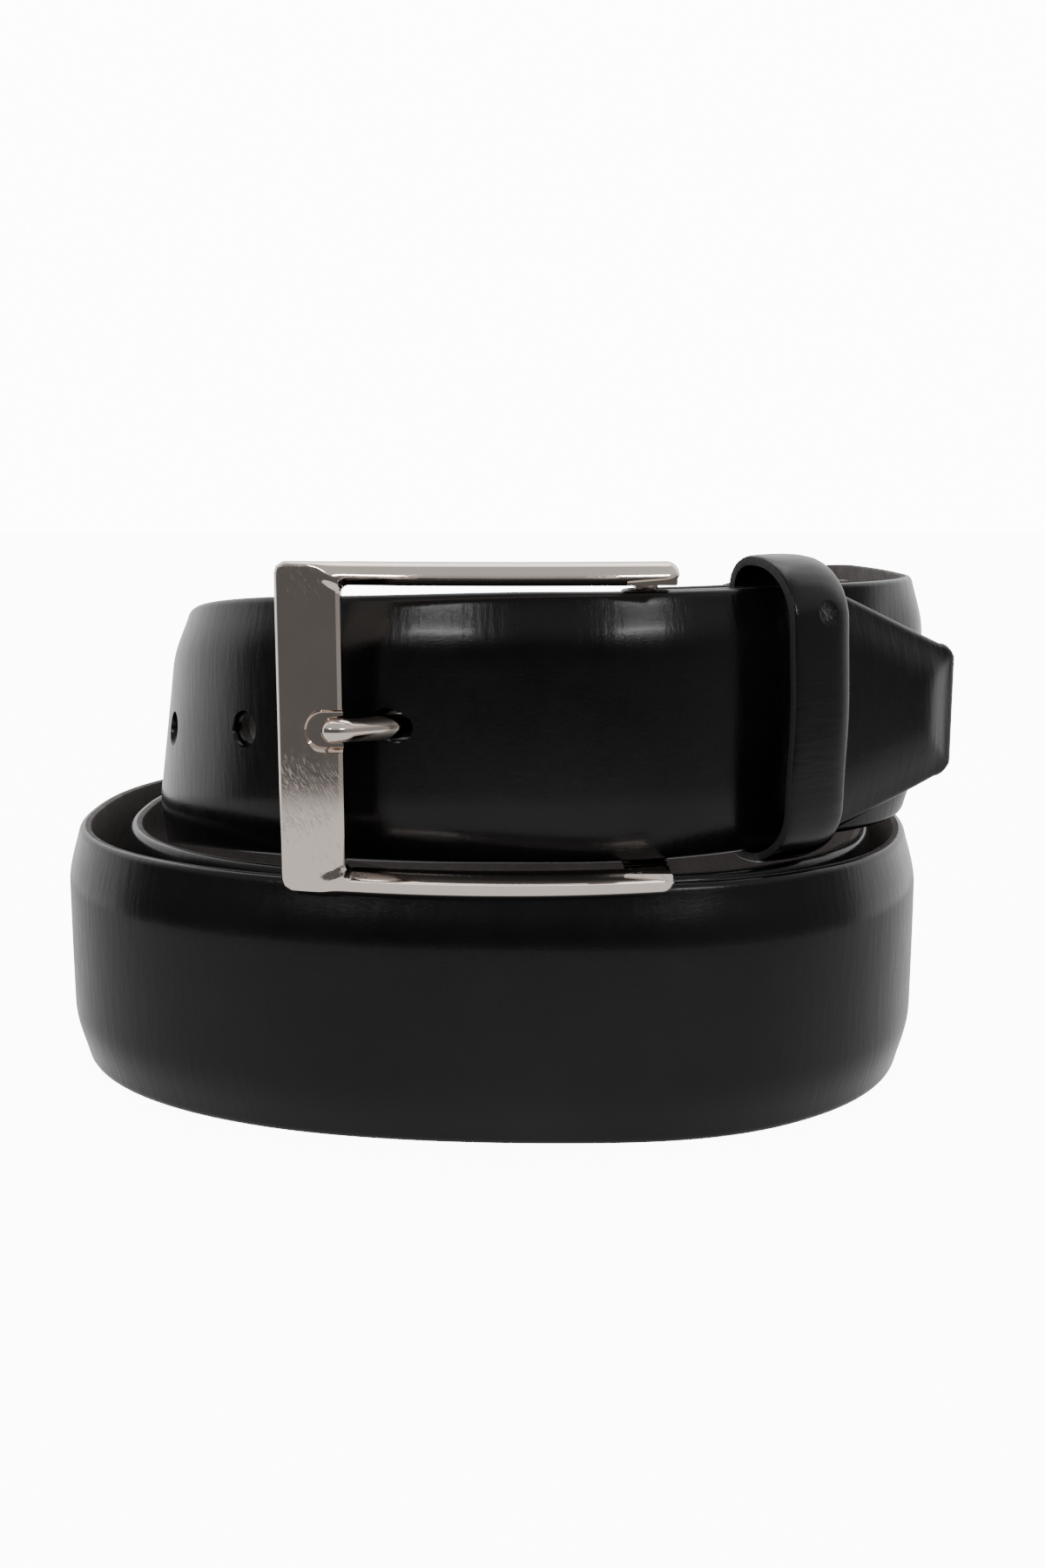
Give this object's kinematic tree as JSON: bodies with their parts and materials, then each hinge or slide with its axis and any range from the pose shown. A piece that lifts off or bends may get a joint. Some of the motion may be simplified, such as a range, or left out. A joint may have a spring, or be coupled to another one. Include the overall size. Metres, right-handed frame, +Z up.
{
  "type": "leather belt",
  "caption": "Dress belt in polished black leather with a C-shaped metal buckle and a loose keeper, buckled and coiled in three turns.",
  "frame": {"origin": "centre of the coil's bounding box, on the surface that the coil stands on", "axes": "+Z up; +X to the right as seen from the buckle side; -Y towards the buckle, the front"},
  "size_m": [0.1318, 0.1134, 0.076],
  "materials": {
    "polished_leather": "high-polish black box calf",
    "keeper_leather": "polished black with raw cut edge",
    "lining_leather": "matt dark brown lining leather",
    "filler_board": "bonded fibre filler",
    "nickel": "polished nickel plate, lightly scratched",
    "steel_wire": "bright staple wire"
  },
  "bodies": {
    "strap": {"strap_leather": "polished_leather", "strap_filler": "filler_board", "strap_lining": "lining_leather", "snap_posts": "nickel", "snap_studs": "nickel", "snap_sockets": "nickel", "snap_caps": "nickel"},
    "buckle": {"buckle_frame": "nickel", "heel_bar": "nickel"},
    "prong": {"prong": "nickel"},
    "keeper": {"keeper_loop": "keeper_leather", "keeper_staples": "steel_wire"}
  },
  "joints": [
    {"name": "buckle_hinge", "type": "hinge", "parent": "strap", "child": "buckle", "pos_m": [0.0203, -0.04226, 0.05475], "axis": [0, 0, 1], "range_deg": [0, 1.2]},
    {"name": "prong_hinge", "type": "hinge", "parent": "buckle", "child": "prong", "pos_m": [0.0203, -0.04226, 0.05475], "axis": [0, 0, 1], "range_deg": [0, 0.8]},
    {"name": "keeper_slide", "type": "slide", "parent": "strap", "child": "keeper", "axis": [0.8572, 0.515, 0], "range_m": [-0.001, 0.0015]}
  ]
}
